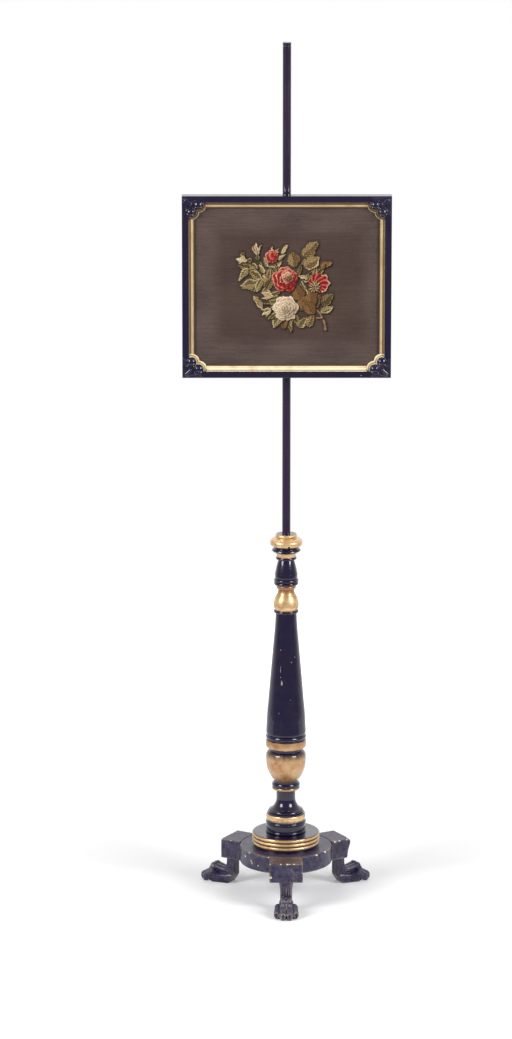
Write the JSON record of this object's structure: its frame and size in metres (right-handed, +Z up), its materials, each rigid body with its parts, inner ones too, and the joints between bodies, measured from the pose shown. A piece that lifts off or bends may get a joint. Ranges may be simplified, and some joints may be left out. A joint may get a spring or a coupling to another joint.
{
  "type": "pole screen",
  "caption": "Free-standing fire screen: a framed needlework panel that slides and turns on a slender pole, on a turned column and round base with carved paw feet.",
  "frame": {"origin": "on the floor, on the axis of the column and pole", "axes": "+Z up along the pole, -Y towards the viewer of the needlework, +X to that viewer's right"},
  "size_m": [0.344, 0.2576, 1.45],
  "materials": {
    "ebony": "ebonised and polished wood",
    "worn_ebony": "worn ebonised wood, rubbed and chipped at the edges",
    "parcel_gilt": "turned ebonised wood with gilt mouldings",
    "gilt": "gold leaf on wood",
    "wool": "wool tent stitch on canvas",
    "deal": "bare softwood",
    "back_board": "stained thin board",
    "brass": "cast brass, dull polish",
    "iron": "darkened iron"
  },
  "bodies": {
    "stand": {"base_plinth": "worn_ebony", "reeded_plinth": "parcel_gilt", "leg_front": "worn_ebony", "leg_left": "worn_ebony", "leg_right": "worn_ebony", "leg_screws": "iron", "tenon_wedge": "deal", "foot_drum": "parcel_gilt", "urn": "parcel_gilt", "trumpet": "parcel_gilt", "lower_vase": "parcel_gilt", "upper_vase": "parcel_gilt", "pole_socket": "parcel_gilt"},
    "pole": {"pole": "ebony"},
    "screen": {"frame_top": "ebony", "frame_bottom": "ebony", "frame_left": "ebony", "frame_right": "ebony", "slip_top": "gilt", "slip_bottom": "gilt", "slip_left": "gilt", "slip_right": "gilt", "slip_corner_top_left": "gilt", "slip_corner_top_right": "gilt", "slip_corner_bottom_left": "gilt", "slip_corner_bottom_right": "gilt", "corner_top_left": "ebony", "corner_top_right": "ebony", "corner_bottom_left": "ebony", "corner_bottom_right": "ebony", "needlework": "wool", "strainer_top": "deal", "strainer_bottom": "deal", "strainer_left": "deal", "strainer_right": "deal", "back_board": "back_board", "back_pins": "iron", "upper_eye": "brass", "lower_eye": "brass", "eye_screws": "brass"},
    "thumbscrew": {"thumbscrew": "brass"}
  },
  "joints": [
    {"name": "pole_turn", "type": "hinge", "parent": "stand", "child": "pole", "pos_m": [0, 0, 0.6], "axis": [0, 0, 1], "continuous": true},
    {"name": "screen_slide", "type": "slide", "parent": "pole", "child": "screen", "axis": [0, 0, 1], "range_m": [-0.26, 0.24]},
    {"name": "thumbscrew_turn", "type": "hinge", "parent": "screen", "child": "thumbscrew", "pos_m": [0, 0.02, 1.192], "axis": [0, 1, 0], "range_deg": [0, 360]}
  ]
}
